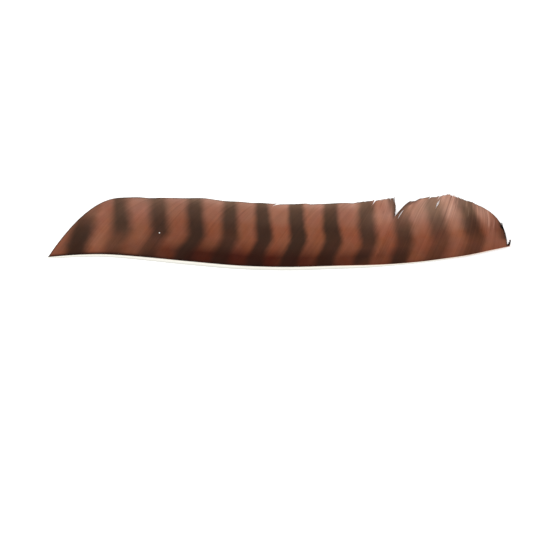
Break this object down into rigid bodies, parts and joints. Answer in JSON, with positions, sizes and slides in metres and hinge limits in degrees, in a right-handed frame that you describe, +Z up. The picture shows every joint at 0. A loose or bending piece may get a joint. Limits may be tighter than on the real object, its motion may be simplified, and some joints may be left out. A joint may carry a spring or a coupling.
{
  "type": "turkey wing feather",
  "caption": "Long one-vane wing feather lying flat: brown web with soft dark bars, split and frayed towards the tip, on a pale quill ground flat along one side.",
  "frame": {"origin": "under the middle of the feather's bounding box, on the surface that it lies on", "axes": "+X from the butt of the quill to the tip, +Y across the vane from the quill to the free edge, +Z up out of the surface that it lies on"},
  "size_m": [0.28, 0.0458, 0.0046],
  "materials": {
    "quill": "pale keratin, satin where it is whole and chalky with fine scratches where it is ground",
    "vane": "dyed barbs hooked into a satin web, with soft dark bars"
  },
  "bodies": {
    "root": {"quill": "quill", "vane": "vane"}
  },
  "joints": []
}
